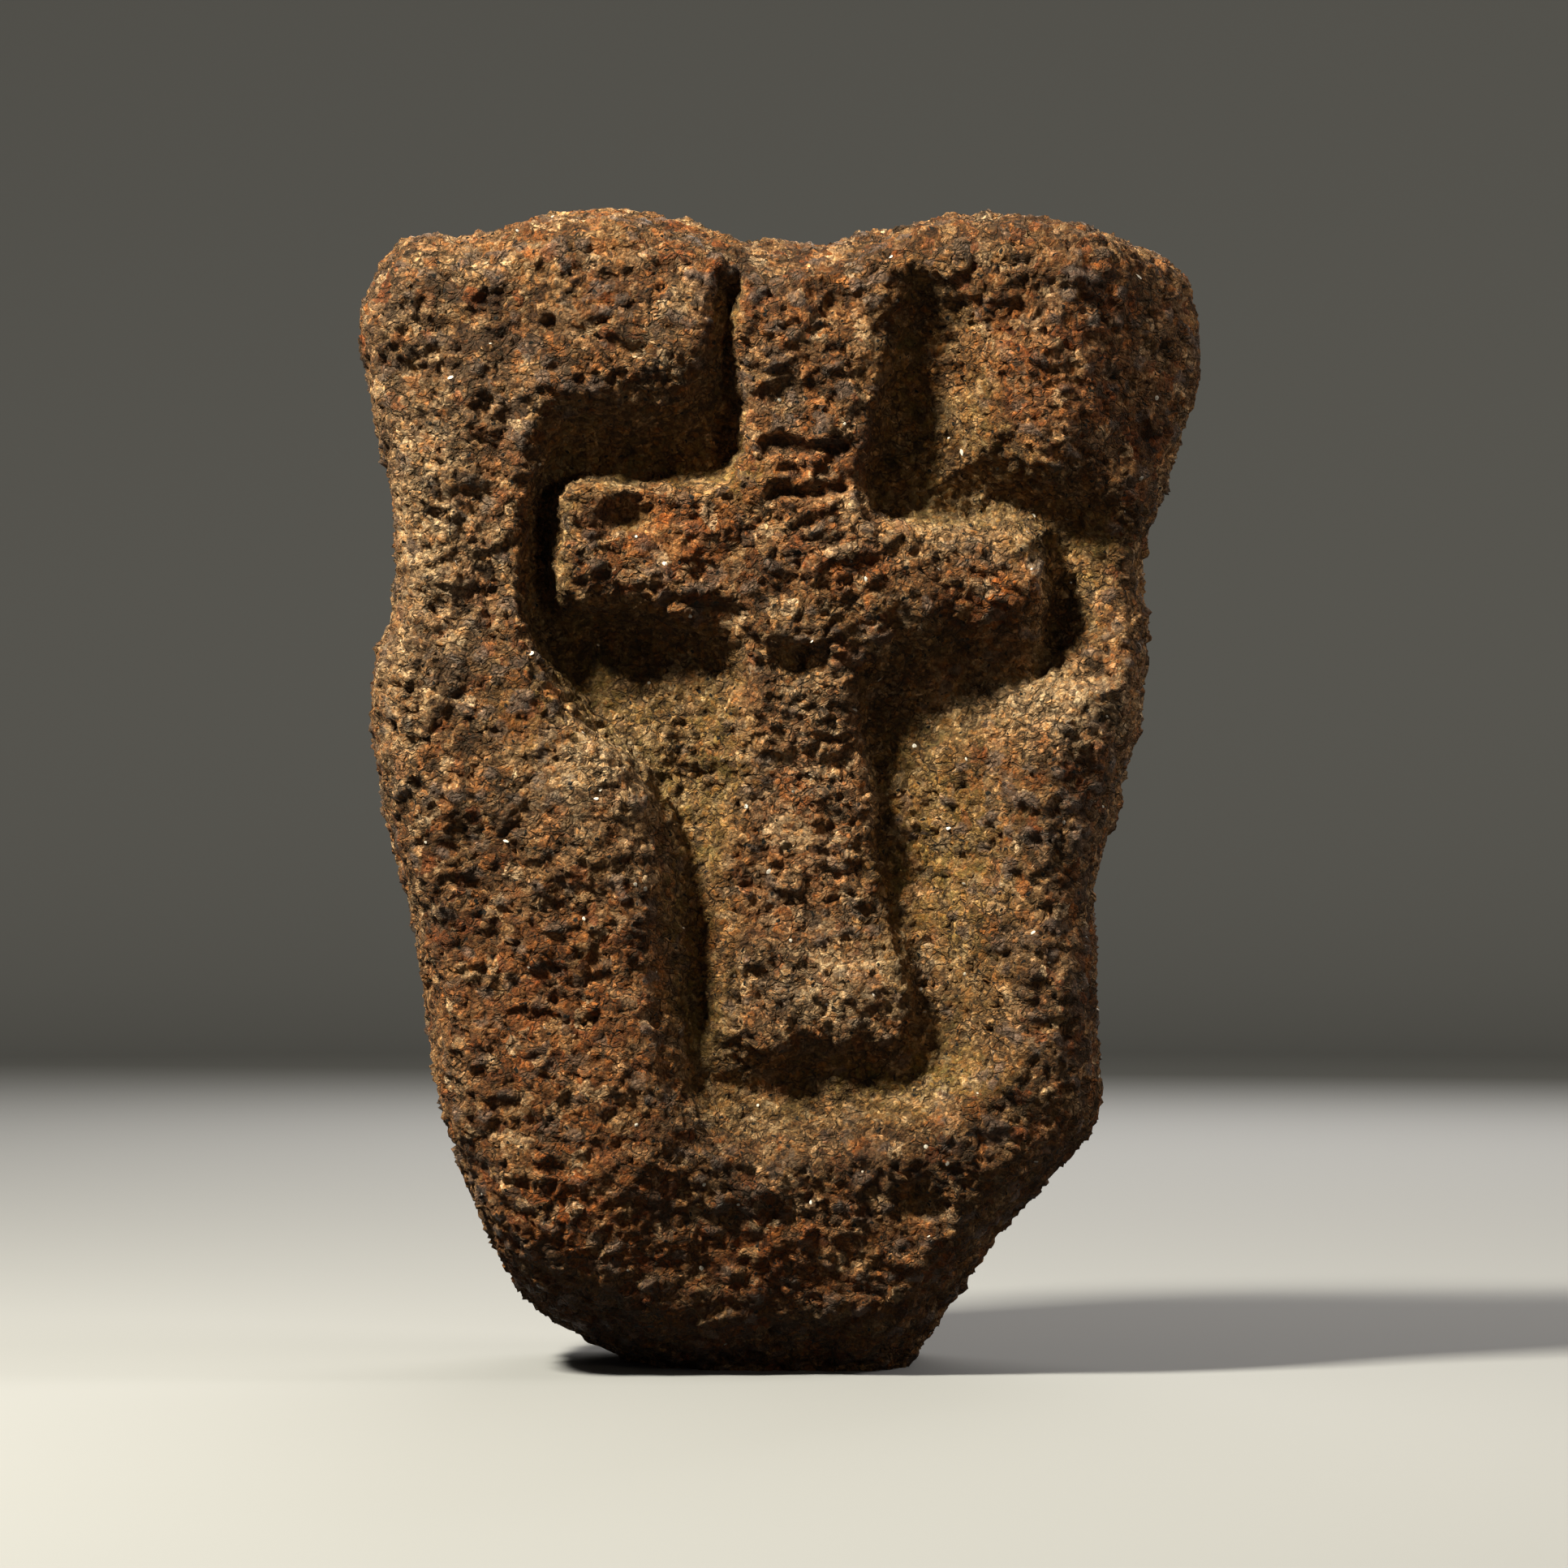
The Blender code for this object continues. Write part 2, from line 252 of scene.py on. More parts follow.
def shelterOf(points, normals, tree):  # how far each place is walled in, from 0 in the open
    rng = np.random.default_rng(shelterLook["seed"])
    rays = rng.normal(size=(shelterLook["rays"], 3))
    rays /= np.linalg.norm(rays, axis=1)[:, None]
    shelter = np.zeros(len(points))
    for i, (point, normal) in enumerate(zip(points, normals)):
        start = Vector(point + normal * shelterLook["lift"])
        hits, total = 0, 0
        for ray in rays:
            if float(ray @ normal) < shelterLook["leastSlope"]:
                continue
            total += 1
            if tree.ray_cast(start, Vector(ray), shelterLook["reach"])[0] is not None:
                hits += 1
        shelter[i] = hits / max(total, 1)
    return shelter


def treeOf(points):
    tree = KDTree(len(points))
    for i, point in enumerate(points):
        tree.insert(point, i)
    tree.balance()
    return tree


def blockShelter(points):  # worked out at the block's corners and blended in between
    block = mergedBlock()
    corners = np.array([vert.co for vert in block.verts])
    facing = np.array([vert.normal for vert in block.verts])
    atCorners = shelterOf(corners, facing, BVHTree.FromBMesh(block))
    block.free()
    tree = treeOf(corners)
    shelter = np.empty(len(points))
    for i, point in enumerate(points):
        near = tree.find_n(point, 3)
        weights = [1 / (distance + shelterLook["blendOver"]) for _, _, distance in near]
        shelter[i] = sum(w * atCorners[n[1]] for w, n in zip(weights, near)) / sum(weights)
    return shelter


def insideBox(points):  # nothing leaves the block's own box, and the foot lies flat on the ground
    margin = stoneLook["boxMargin"]
    for limit, side in ((boxLow, 1), (boxHigh, -1)):
        inward = (points - limit) * side
        pressed = margin * np.exp(np.minimum(inward, margin) / margin - 1)
        points = limit + side * np.where(inward < margin, pressed, inward)
    points[:, 2] = np.where(points[:, 2] < margin * stoneLook["footShare"], 0, points[:, 2])
    return points


def crumbledStone():
    mesh = evenBlock()
    points, normals = arrayOf(mesh, "co"), arrayOf(mesh, "normal")
    shelter = blockShelter(points)
    walled = ease(*shelterLook["walls"], shelter)
    behind = ease(stoneLook["backStart"], stoneLook["backFull"], points[:, 1])
    fineness = 1 - (1 - stoneLook["backFineness"]) * behind
    crumbs = np.array([crumbAt(Vector(p), w, f) for p, w, f in zip(points, walled, fineness)])
    points = points + normals * crumbs[:, :1]
    mesh.vertices.foreach_set("co", points.ravel())
    mesh.update()
    print("crumbled", len(points), "points")

    def fewer(helper):
        decimate = helper.modifiers.new("fewer", "DECIMATE")
        triangles = sum(len(face.vertices) - 2 for face in helper.data.polygons)
        decimate.ratio = min(1.0, stoneLook["mostTriangles"] / triangles)
        group = helper.vertex_groups.new(name="spare")
        levels = stoneLook["spareLevels"]
        for level in range(levels + 1):
            chosen = np.nonzero(np.round(behind * levels) == level)[0]
            group.add([int(i) for i in chosen], max(stoneLook["leastSpare"], level / levels), "REPLACE")
        decimate.vertex_group = "spare"
        decimate.vertex_group_factor = stoneLook["frontSpared"]
    tree = treeOf(points)
    mesh = meshThrough(mesh, "crumbled", fewer)

    # what each place was before the triangles were thinned
    points = arrayOf(mesh, "co")
    nearest = np.array([tree.find(point)[1] for point in points])
    masks = {
        "shelter": shelter[nearest],
        "proud": np.clip(0.5 + crumbs[nearest, 0] / stoneLook["proudRange"], 0, 1),
        "quartz": crumbs[nearest, 1],
    }

    mesh.vertices.foreach_set("co", insideBox(points).ravel())
    mesh.update()
    return mesh, masks


# What weather and earth have left on the surface, kept as attributes of the mesh

stains = {                     # middle across and up, reach across and up, in metres, and strength
    "rust": (
        (-0.043, 0.369, 0.034, 0.022, 1.0), (0.007, 0.397, 0.024, 0.022, 1.0),
        (0.028, 0.358, 0.030, 0.012, 1.0), (0.093, 0.349, 0.020, 0.016, 1.0),
        (0.013, 0.251, 0.024, 0.040, 1.0), (-0.001, 0.205, 0.016, 0.010, 0.9),
        (-0.032, 0.193, 0.008, 0.030, 1.0), (0.000, 0.053, 0.050, 0.024, 0.75),
        (-0.098, 0.158, 0.046, 0.050, 0.6), (0.100, 0.442, 0.044, 0.034, 0.65),
        (-0.090, 0.080, 0.036, 0.040, 0.8), (0.006, 0.456, 0.030, 0.020, 0.4),
    ),
    # cream crust; on the lit slopes of the left and the right shoulder it is also painted light
    "creamAndLit": (
        (0.018, 0.173, 0.040, 0.020, 0.9), (0.010, 0.104, 0.050, 0.014, 0.3),
        (-0.078, 0.262, 0.024, 0.018, 0.8), (0.135, 0.294, 0.040, 0.014, 0.7),
        (-0.165, 0.458, 0.016, 0.040, 0.4), (0.000, 0.420, 0.016, 0.040, 0.5),
    ),
    "algae": (
        (-0.035, 0.266, 0.022, 0.026, 0.9), (0.070, 0.228, 0.032, 0.050, 0.8),
        (0.050, 0.131, 0.045, 0.012, 1.0), (-0.022, 0.394, 0.024, 0.010, 0.9),
        (0.120, 0.362, 0.040, 0.016, 0.6), (0.058, 0.411, 0.014, 0.050, 0.6),
        (-0.040, 0.188, 0.012, 0.060, 0.8), (-0.088, 0.295, 0.032, 0.022, 0.8),
    ),
    # damp darkens the stone in these patches; the two at the height of the arms, under the left and the
    # right arm, are painted shade
    "dampAndShade": (
        (0.015, 0.104, 0.085, 0.024, 1.0), (0.000, 0.030, 0.080, 0.020, 0.8),
        (-0.070, 0.310, 0.038, 0.015, 1.0), (0.068, 0.318, 0.034, 0.012, 0.6),
        (-0.100, 0.470, 0.050, 0.030, 0.35),
    ),
    "rubbedAndLit": (                 # rubbed edges without the dark skin; on the lit left rim, left edge and shoulders also painted light
        (-0.150, 0.372, 0.022, 0.050, 1.0), (-0.080, 0.266, 0.026, 0.022, 1.0),
        (0.115, 0.298, 0.050, 0.016, 1.0), (0.014, 0.260, 0.022, 0.060, 0.8),
        (0.070, 0.370, 0.050, 0.016, 0.6), (0.030, 0.170, 0.030, 0.020, 0.7),
        (-0.165, 0.300, 0.012, 0.040, 0.8),
    ),
    "grey": (
        (-0.150, 0.430, 0.070, 0.070, 0.9), (-0.150, 0.330, 0.030, 0.070, 0.8),
        (-0.140, 0.190, 0.035, 0.080, 0.6), (0.130, 0.200, 0.030, 0.100, 0.9),
        (0.160, 0.450, 0.045, 0.040, 0.6), (-0.020, 0.480, 0.060, 0.016, 0.5),
    ),
}

weathering = {
    "fadeBack": (0.00, 0.03),      # the stains fade out over this depth behind the middle
    "frontDepth": 0.080,           # how far behind the box's front the dark skin reaches
    "lowerFront": (0.09, 0.14, 0.020),     # between these heights that depth shrinks by the third value
    "skinOver": 0.030,             # depth over which it comes up to its full share
    "skinOpen": (0.04, 0.16),      # shelter over which the skin gives out
    # how much of the skin the rubbed edges, and the painted light on the lit rim and shoulders, take
    # away
    "skinRubbedAndLit": 0.7,
}


def weather(mesh, masks):
    points = arrayOf(mesh, "co")
    for name, spots in stains.items():
        total = np.zeros(len(points))
        for x, z, across, up, strength in spots:
            away = ((points[:, 0] - x) / across) ** 2 + ((points[:, 2] - z) / up) ** 2
            total = np.maximum(total, strength * np.exp(-away))
        masks[name] = total * (1 - ease(*weathering["fadeBack"], points[:, 1]))
    low, high, shrink = weathering["lowerFront"]
    away = boxLow[1] + weathering["frontDepth"] - shrink * ease(low, high, points[:, 2]) - points[:, 1]
    unsheltered = 1 - ease(*weathering["skinOpen"], masks["shelter"])
    rubbedAndLitShare = weathering["skinRubbedAndLit"] * masks["rubbedAndLit"]
    masks["skin"] = ease(0.0, weathering["skinOver"], away) * unsheltered * (1 - rubbedAndLitShare)
    for name, values in masks.items():
        layer = mesh.attributes.new(name, "FLOAT", "POINT")
        layer.data.foreach_set("value", values.astype(np.float32))
    print("weathered, shelter up to", round(float(masks["shelter"].max()), 2))


# Materials

def newMaterial(name):
    material = bpy.data.materials.new(name)
    material.use_nodes = True
    return material, material.node_tree, material.node_tree.nodes["Principled BSDF"]


def link(tree, source, target):
    tree.links.new(source, target)


def feed(tree, value, socket):  # a link, a colour or a number, whichever is given
    if isinstance(value, bpy.types.NodeSocket):
        link(tree, value, socket)
    elif isinstance(value, tuple) and len(value) == 3 and len(socket.default_value) == 4:
        socket.default_value = (*value, 1)
    else:
        socket.default_value = value


def ramp(tree, source, stops, smooth=True):
    node = tree.nodes.new("ShaderNodeValToRGB")
    node.color_ramp.interpolation = "LINEAR" if smooth else "CONSTANT"
    band = node.color_ramp.elements
    while len(band) < len(stops):
        band.new(0.5)
    for element, (place, colour) in zip(band, stops):
        element.position = place
        element.color = (*colour, 1)
    link(tree, source, node.inputs["Fac"])
    return node.outputs["Color"]


def mixColour(tree, share, first, second, blend="MIX"):
    node = tree.nodes.new("ShaderNodeMix")
    node.data_type = "RGBA"
    node.blend_type = blend
    feed(tree, share, node.inputs["Factor"])
    colours = [socket for socket in node.inputs if socket.type == "RGBA"]
    feed(tree, first, colours[0])
    feed(tree, second, colours[1])
    return [socket for socket in node.outputs if socket.type == "RGBA"][0]


def calc(tree, operation, *values):
    node = tree.nodes.new("ShaderNodeMath")
    node.operation = operation
    for socket, value in zip(node.inputs, values):
        feed(tree, value, socket)
    return node.outputs[0]


def remap(tree, source, low, high, newLow=0.0, newHigh=1.0):
    node = tree.nodes.new("ShaderNodeMapRange")
    node.interpolation_type = "SMOOTHSTEP"
    for name, value in (("From Min", low), ("From Max", high), ("To Min", newLow), ("To Max", newHigh)):
        node.inputs[name].default_value = value
    link(tree, source, node.inputs["Value"])
    return node.outputs["Result"]


def attribute(tree, name):
    node = tree.nodes.new("ShaderNodeAttribute")
    node.attribute_name = name
    return node.outputs["Fac"]


def noiseAt(tree, place, name):
    node = tree.nodes.new("ShaderNodeTexNoise")
    for socket, value in zip(("Scale", "Detail", "Roughness"), textures[name]):
        node.inputs[socket].default_value = value
    link(tree, place, node.inputs["Vector"])
    return node.outputs["Fac"]


def patchy(tree, mask, texture, name):  # a mask that a texture breaks up
    *stops, strength = layers[name]
    share = calc(tree, "MULTIPLY", mask, remap(tree, texture, *stops))
    return calc(tree, "MULTIPLY", share, strength)


def cellTones(tree, place, scale):  # three random values of each crystal
    node = tree.nodes.new("ShaderNodeTexVoronoi")
    node.inputs["Scale"].default_value = scale
    link(tree, place, node.inputs["Vector"])
    tone = tree.nodes.new("ShaderNodeSeparateColor")
    link(tree, node.outputs["Color"], tone.inputs[0])
    return tone.outputs


def granuleGroup():  # the small broken grain of the stone, shared by its materials
    group = bpy.data.node_groups.new("granules", "ShaderNodeTree")
    for name, kind in (("Place", "NodeSocketVector"), ("Scale", "NodeSocketFloat")):
        group.interface.new_socket(name, in_out="INPUT", socket_type=kind)
    for name, kind in (("Tint", "NodeSocketColor"), ("Chance", "NodeSocketFloat"),
                       ("Gap", "NodeSocketFloat"), ("Height", "NodeSocketFloat")):
        group.interface.new_socket(name, in_out="OUTPUT", socket_type=kind)
    inside = group.nodes.new("NodeGroupInput")
    outside = group.nodes.new("NodeGroupOutput")
    cells = group.nodes.new("ShaderNodeTexVoronoi")
    link(group, inside.outputs["Place"], cells.inputs["Vector"])
    link(group, inside.outputs["Scale"], cells.inputs["Scale"])
    tone = group.nodes.new("ShaderNodeSeparateColor")
    link(group, cells.outputs["Color"], tone.inputs[0])
    link(group, ramp(group, tone.outputs[0], granuleTints, smooth=False), outside.inputs["Tint"])
    link(group, tone.outputs[1], outside.inputs["Chance"])
    link(group, cells.outputs["Distance"], outside.inputs["Gap"])
    step = calc(group, "MULTIPLY", tone.outputs[2], granuleShape["step"])
    height = calc(group, "MULTIPLY_ADD", cells.outputs["Distance"], -granuleShape["roundness"], step)
    link(group, height, outside.inputs["Height"])
    return group


def granulesAt(tree, group, place, scale):
    node = tree.nodes.new("ShaderNodeGroup")
    node.node_tree = group
    link(tree, place, node.inputs["Place"])
    node.inputs["Scale"].default_value = scale
    return node.outputs


granuleTints = (               # how much darker or lighter each granule is, and what it leans to
    (0.00, (0.34, 0.28, 0.25)), (0.12, (0.64, 0.53, 0.44)), (0.28, (0.88, 0.78, 0.68)),
    (0.50, (1.0, 0.96, 0.92)), (0.66, (1.16, 0.86, 0.58)), (0.80, (1.28, 1.15, 1.00)),
    (0.93, (1.85, 1.70, 1.55)),
)

textures = {                   # to the metre, detail and roughness
    "smoulder": (34.0, 9.0, 0.72),
    "speckle": (150.0, 7.0, 0.78),
    "blotch": (46.0, 7.0, 0.72),
    "clouds": (15.0, 5.0, 0.65),
    "stray": (27.0, 7.0, 0.74),
    "grit": (620.0, 5.0, 0.75),
    "lumps": (230.0, 4.0, 0.65),
}

layers = {                     # a texture's low and high, the layer's share at each, and its strength
    "grey": (0.35, 0.65, 0.9, 0.35, 0.6),
    "skin": (0.38, 0.58, 1.0, 0.40, 1.0),
    "rust": (0.39, 0.55, 0.20, 1.0, 1.0),
    "creamAndLit": (0.40, 0.56, 0.15, 0.9, 0.8),
    "film": (0.35, 0.62, 0.85, 0.35, 0.75),
    "algae": (0.38, 0.60, 0.85, 0.15, 0.7),
    "minerals": (0.40, 0.52, 0.35, 1.0, 1.0),
    "rubbedAndLit": (0.40, 0.58, 0.1, 0.8, 1.0),
    "dampAndShade": (0.36, 0.60, 0.85, 0.45, 1.0),
    "crevices": (0.42, 0.55, 0.0, 1.0, 1.0),
    "gaps": (0.4, 0.6, 0.3, 1.0, 1.0),
}

bands = {                      # a value's low and high, and what they become if that isn't 0 and 1
    "sheltered": (0.08, 0.36),
    "strayRust": (0.54, 0.66, 0.0, 0.5),
    "crystals": (0.30, 0.75, 0.0, 0.8),
    "smoke": (0.08, 0.50, 0.0, 0.8),
    "unrusted": (0.2, 0.9, 1.0, 0.3),
    "narrow": (0.0, 0.085, 1.0, 0.0),
    "pitShade": (0.02, 0.38, 0.5, 0.0),
    "gaps": (0.42, 0.80, 0.0, 0.75),
    "speckChance": (0.955, 0.96),
    "speckSize": (0.36, 0.44, 1.0, 0.0),
    "quartzRough": (0.1, 0.6, 0.93, 0.52),
}

granuleShape = {
    "step": 0.6,               # how much one granule stands above the next
    "roundness": 0.8,
}

graniteLook = {
    "earths": (                # from the stained hollows to the fresher feldspar
        (0.39, (0.070, 0.036, 0.019)), (0.445, (0.225, 0.115, 0.047)), (0.49, (0.40, 0.238, 0.107)),
        (0.535, (0.56, 0.385, 0.212)), (0.59, (0.84, 0.65, 0.43)),
    ),
    "minerals": (
        (0.00, (0.15, 0.112, 0.100)), (0.17, (0.27, 0.085, 0.028)), (0.34, (0.42, 0.175, 0.055)),
        (0.48, (0.50, 0.33, 0.18)), (0.62, (0.66, 0.49, 0.32)), (0.74, (0.33, 0.22, 0.14)),
        (0.84, (0.62, 0.38, 0.21)), (0.93, (0.80, 0.64, 0.46)),
    ),
    "rust": (0.42, 0.135, 0.026),
    # cream crust and rubbed edges, and the painted light on the lit rim and shoulders
    "creamAndLit": (0.68, 0.55, 0.385),
    "algae": (0.37, 0.315, 0.085),
    "film": (0.215, 0.190, 0.080),
    # what the damp patches, and the painted shade under the arms, multiply the colour by
    "dampAndShade": (0.32, 0.27, 0.22),
    # near-black brown for the crevices, the gaps between granules and the painted shade in the pits
    "soilAndShade": (0.050, 0.030, 0.014),
    "mica": (0.015, 0.014, 0.012),
    "smoke": (0.195, 0.145, 0.128),
    "greyStone": (0.235, 0.178, 0.142),
    "skin": (0.44, 0.40, 0.375),
    "crystals": 150.0,         # crystals, granules and specks to the metre
    "granules": 450.0,
    "specks": 950.0,
    "crevices": 125.0,
    "flatness": 1.5,           # crevices run more across than up
    "warpScale": 210.0,        # how crooked the borders of crystals are
    "warpBy": 0.006,
    "warpDetail": 3.0,
    "speckling": 0.55,         # fine speckle against broad clouds in the ground colour
    "crystalTone": 0.10,       # how much lighter or darker one crystal's ground is than the next
    "floorPlainness": 0.7,     # how far crystals disappear under the film in the sheltered places
    "creviceShare": 0.8,
    "granuleShare": 0.9,
    "speckShare": 0.55,
    "specular": 0.30,
    "gritHeight": 1.1,         # the bump's parts, in shares of its height
    "lumpHeight": 1.2,
    "creviceDepth": 0.9,
    "bumpHeight": 0.0019,
}


def graniteMaterial():
    look = graniteLook
    material, tree, shader = newMaterial("weathered granite")
    place = tree.nodes.new("ShaderNodeTexCoord").outputs["Object"]

    warp = tree.nodes.new("ShaderNodeTexNoise")
    warp.inputs["Scale"].default_value = look["warpScale"]
    warp.inputs["Detail"].default_value = look["warpDetail"]
    link(tree, place, warp.inputs["Vector"])
    bend = tree.nodes.new("ShaderNodeVectorMath")
    bend.operation = "MULTIPLY_ADD"
    link(tree, warp.outputs["Color"], bend.inputs[0])
    bend.inputs[1].default_value = (look["warpBy"],) * 3
    link(tree, place, bend.inputs[2])
    bent = bend.outputs[0]

    large = cellTones(tree, bent, look["crystals"])
    fine = granulesAt(tree, granules, bent, look["granules"])
    tiny = granulesAt(tree, granules, place, look["specks"])

    flat = tree.nodes.new("ShaderNodeVectorMath")
    flat.operation = "MULTIPLY"
    link(tree, bent, flat.inputs[0])
    flat.inputs[1].default_value = (1.0, 1.0, look["flatness"])
    edges = tree.nodes.new("ShaderNodeTexVoronoi")
    edges.feature = "DISTANCE_TO_EDGE"
    edges.inputs["Scale"].default_value = look["crevices"]
    link(tree, flat.outputs[0], edges.inputs["Vector"])

    speckle = noiseAt(tree, bent, "speckle")
    blotch = noiseAt(tree, place, "blotch")
    smoulder = calc(tree, "MULTIPLY", noiseAt(tree, place, "smoulder"), 1 - look["speckling"])
    tone = calc(tree, "MULTIPLY_ADD", speckle, look["speckling"], smoulder)
    tilt = calc(tree, "MULTIPLY_ADD", large[1], look["crystalTone"], -look["crystalTone"] / 2)
    tone = calc(tree, "ADD", tone, tilt)
    colour = ramp(tree, tone, look["earths"])

    # stains: grey areas, dark skin, rust, and cream crust, which on the shoulders is also painted light
    grey = patchy(tree, attribute(tree, "grey"), speckle, "grey")
    colour = mixColour(tree, grey, colour, look["greyStone"])
    skin = patchy(tree, attribute(tree, "skin"), noiseAt(tree, place, "clouds"), "skin")
    colour = mixColour(tree, skin, colour, look["skin"], "MULTIPLY")
    rust = patchy(tree, attribute(tree, "rust"), blotch, "rust")
    strayRust = remap(tree, noiseAt(tree, place, "stray"), *bands["strayRust"])
    colour = mixColour(tree, calc(tree, "MAXIMUM", rust, strayRust), colour, look["rust"])
    creamAndLit = patchy(tree, attribute(tree, "creamAndLit"), speckle, "creamAndLit")
    colour = mixColour(tree, creamAndLit, colour, look["creamAndLit"])

    # film and algae in the sheltered places
    sheltered = remap(tree, attribute(tree, "shelter"), *bands["sheltered"])
    openness = calc(tree, "SUBTRACT", 1.0, calc(tree, "MULTIPLY", sheltered, look["floorPlainness"]))
    colour = mixColour(tree, patchy(tree, sheltered, blotch, "film"), colour, look["film"])
    algae = patchy(tree, attribute(tree, "algae"), speckle, "algae")
    colour = mixColour(tree, algae, colour, look["algae"])

    # single crystals, smoky quartz, and rubbed edges, which on the lit left rim and shoulders are also
    # painted light
    crystals = patchy(tree, remap(tree, large[1], *bands["crystals"]), speckle, "minerals")
    crystals = calc(tree, "MULTIPLY", crystals, openness)
    colour = mixColour(tree, crystals, colour, ramp(tree, large[0], look["minerals"], smooth=False))
    smoke = remap(tree, attribute(tree, "quartz"), *bands["smoke"])
    unrusted = remap(tree, attribute(tree, "rust"), *bands["unrusted"])
    colour = mixColour(tree, calc(tree, "MULTIPLY", smoke, unrusted), colour, look["smoke"])
    # lighter on rubbed edges, and painted light on the lit left rim, left edge and shoulders
    rubbedAndLit = patchy(tree, attribute(tree, "rubbedAndLit"), speckle, "rubbedAndLit")
    colour = mixColour(tree, rubbedAndLit, colour, look["creamAndLit"])

    # granules and specks darken or lighten what lies below them, and the damp patches darken it, which
    # under the arms is painted shade
    colour = mixColour(tree, look["granuleShare"], colour, fine["Tint"], "MULTIPLY")
    colour = mixColour(tree, look["speckShare"], colour, tiny["Tint"], "MULTIPLY")
    dampAndShade = patchy(tree, attribute(tree, "dampAndShade"), speckle, "dampAndShade")
    colour = mixColour(tree, dampAndShade, colour, look["dampAndShade"], "MULTIPLY")

    # dark crevices and gaps between granules, painted shade in the pits that darkens a place the lower
    # it lies, and dark specks of mica
    narrow = remap(tree, edges.outputs["Distance"], *bands["narrow"])
    crevices = patchy(tree, narrow, blotch, "crevices")
    creviceShare = calc(tree, "MULTIPLY", crevices, look["creviceShare"])
    colour = mixColour(tree, creviceShare, colour, look["soilAndShade"])
    # the lower a place lies in the crumbled surface, the darker: painted shade in the pits
    pitShade = remap(tree, attribute(tree, "proud"), *bands["pitShade"])
    colour = mixColour(tree, pitShade, colour, look["soilAndShade"])
    gaps = patchy(tree, remap(tree, fine["Gap"], *bands["gaps"]), blotch, "gaps")
    colour = mixColour(tree, gaps, colour, look["soilAndShade"])
    specks = calc(tree, "MULTIPLY", remap(tree, fine["Chance"], *bands["speckChance"]),
                  remap(tree, fine["Gap"], *bands["speckSize"]))
    colour = mixColour(tree, specks, colour, look["mica"])
    link(tree, colour, shader.inputs["Base Color"])

    rough = remap(tree, attribute(tree, "quartz"), *bands["quartzRough"])
    link(tree, rough, shader.inputs["Roughness"])
    shader.inputs["Specular IOR Level"].default_value = look["specular"]

    height = calc(tree, "MULTIPLY_ADD", noiseAt(tree, place, "grit"), look["gritHeight"], fine["Height"])
    lumps = calc(tree, "MULTIPLY", noiseAt(tree, bent, "lumps"), look["lumpHeight"])
    height = calc(tree, "ADD", height, lumps)
    height = calc(tree, "SUBTRACT", height, calc(tree, "MULTIPLY", crevices, look["creviceDepth"]))
    bump = tree.nodes.new("ShaderNodeBump")
    bump.inputs["Strength"].default_value = 1.0
    bump.inputs["Distance"].default_value = look["bumpHeight"]
    link(tree, height, bump.inputs["Height"])
    link(tree, bump.outputs[0], shader.inputs["Normal"])
    return material


granules = granuleGroup()
stoneMesh, stoneMasks = crumbledStone()
weather(stoneMesh, stoneMasks)
stoneMesh.materials.clear()
stoneMesh.materials.append(graniteMaterial())
stoneMesh.shade_smooth()
stoneMesh.name = "weathered_stone"
weatheredStone = bpy.data.objects.new("weathered_stone", stoneMesh)
scene.collection.objects.link(weatheredStone)
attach(weatheredStone, "root")
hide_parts("waymark_stone")
print("stone:", sum(len(face.vertices) - 2 for face in stoneMesh.polygons), "triangles")


# Flakes of pale mica on the front: glossy, so they catch the light as small glints, and near-white,
# which also paints glints in as colour

flakes = {
    "count": 130,
    "seed": 14,
    "radius": (0.0006, 0.0013),
    "flatness": (0.12, 0.25),
    "proud": 0.4,              # share of its thickness that a flake stands off the stone
    "likes": {"algae": 1.5, "creamAndLit": 1.0},
    "behind": 0.0,             # none sits further back than this, or lower than the next
    "lowest": 0.01,
    "tilt": 0.25,
    "stretch": (0.8, 1.5),
    "wobble": (0.002, 0.3),    # how crooked the flakes are: over what length, and by what share
    "grain": (900.0, 0.35),    # granules to the metre, and how much they tint the flakes
    # near-white, which paints part of the glint in as colour
    "colour": (0.86, 0.84, 0.80),
    "roughness": 0.22,
}


def seats(mesh, masks, rng):  # places on the front where flakes sit, with the slope there
    mesh.calc_loop_triangles()
    corners = np.empty(len(mesh.loop_triangles) * 3, dtype=np.int32)
    mesh.loop_triangles.foreach_get("vertices", corners)
    corners = corners.reshape(-1, 3)
    points = arrayOf(mesh, "co")
    a, b, c = (points[corners[:, i]] for i in range(3))
    cross = np.cross(b - a, c - a)
    area = np.linalg.norm(cross, axis=1)
    liked = 1 + sum(masks[name][corners[:, 0]] * weight for name, weight in flakes["likes"].items())
    share = area * liked * (a[:, 1] < flakes["behind"]) * (a[:, 2] > flakes["lowest"])
    chosen = rng.choice(len(corners), size=flakes["count"], replace=False, p=share / share.sum())
    return (a[chosen] + b[chosen] + c[chosen]) / 3, cross[chosen] / area[chosen][:, None]


